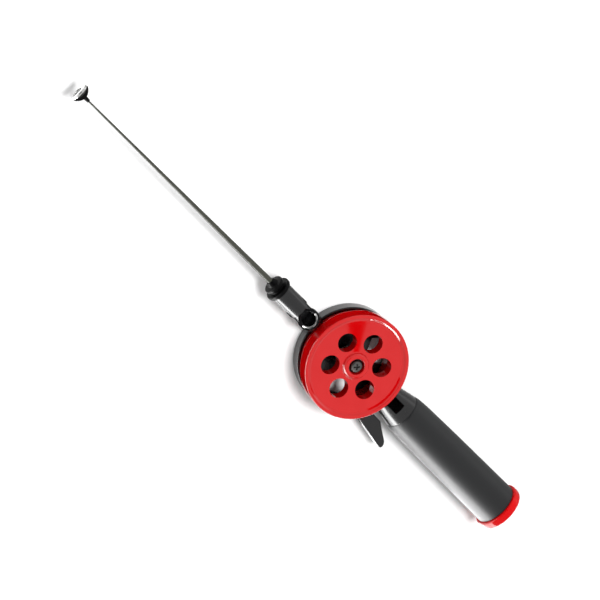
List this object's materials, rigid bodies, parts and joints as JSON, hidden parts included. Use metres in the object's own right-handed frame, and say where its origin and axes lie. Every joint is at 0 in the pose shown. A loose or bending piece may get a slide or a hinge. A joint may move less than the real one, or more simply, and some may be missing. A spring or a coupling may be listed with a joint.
{
  "type": "ice fishing rod",
  "caption": "Short ice fishing rod with a one-hand reel: dished frame, holed spool, trigger stop, hollow grip with end cap, and a whip tip with its guide.",
  "frame": {"origin": "on the spool's axis, in the plane of the frame's flat back", "axes": "+Z along the axle towards the spool's face, +X towards the rod's tip, +Y towards the trigger"},
  "size_m": [0.3812, 0.062, 0.0286],
  "materials": {
    "frame_plastic": "gloss black moulded plastic",
    "grip_plastic": "satin dark grey moulded plastic",
    "spool_plastic": "gloss red moulded plastic",
    "cap_plastic": "gloss red slightly clear plastic",
    "whip": "dark olive grey composite",
    "steel": "plain turned steel",
    "polished_steel": "polished steel",
    "dark_steel": "blackened steel",
    "brass": "turned brass",
    "felt": "pressed felt"
  },
  "bodies": {
    "frame": {"frame_body": "frame_plastic", "axle_nut": "steel", "axle_sleeve": "steel", "friction_washer": "felt", "axle_washer": "steel", "trigger_pin": "steel", "line_guide_ring": "polished_steel", "tip_tube": "frame_plastic", "grip_shell": "grip_plastic", "grip_screw": "dark_steel"},
    "spool": {"spool_front": "spool_plastic", "spool_back": "spool_plastic", "hub_bush": "brass"},
    "drag_screw": {"axle_screw": "dark_steel"},
    "trigger": {"trigger_lever": "frame_plastic", "trigger_spring": "steel"},
    "whip": {"whip_plug": "frame_plastic", "whip_blank": "whip", "tip_guide_yoke": "frame_plastic", "tip_guide_ring": "polished_steel"},
    "cap": {"butt_cap": "cap_plastic"}
  },
  "joints": [
    {"name": "spool_spin", "type": "hinge", "parent": "frame", "child": "spool", "pos_m": [0, 0, 0.01], "axis": [0, 0, 1], "continuous": true},
    {"name": "screw_turn", "type": "hinge", "parent": "frame", "child": "drag_screw", "pos_m": [0, 0, 0.021], "axis": [0, 0, 1], "range_deg": [-90, 90]},
    {"name": "trigger_squeeze", "type": "hinge", "parent": "frame", "child": "trigger", "pos_m": [-0.0282, 0.016, 0.006], "axis": [0, 0, 1], "range_deg": [0, 9], "stiffness_Nm_per_rad": 0.5, "springref_deg": -6.88},
    {"name": "whip_pull", "type": "slide", "parent": "frame", "child": "whip", "axis": [1, 0, 0], "range_m": [0, 0.03]},
    {"name": "cap_pull", "type": "slide", "parent": "frame", "child": "cap", "axis": [-1, 0, 0], "range_m": [0, 0.025]}
  ]
}
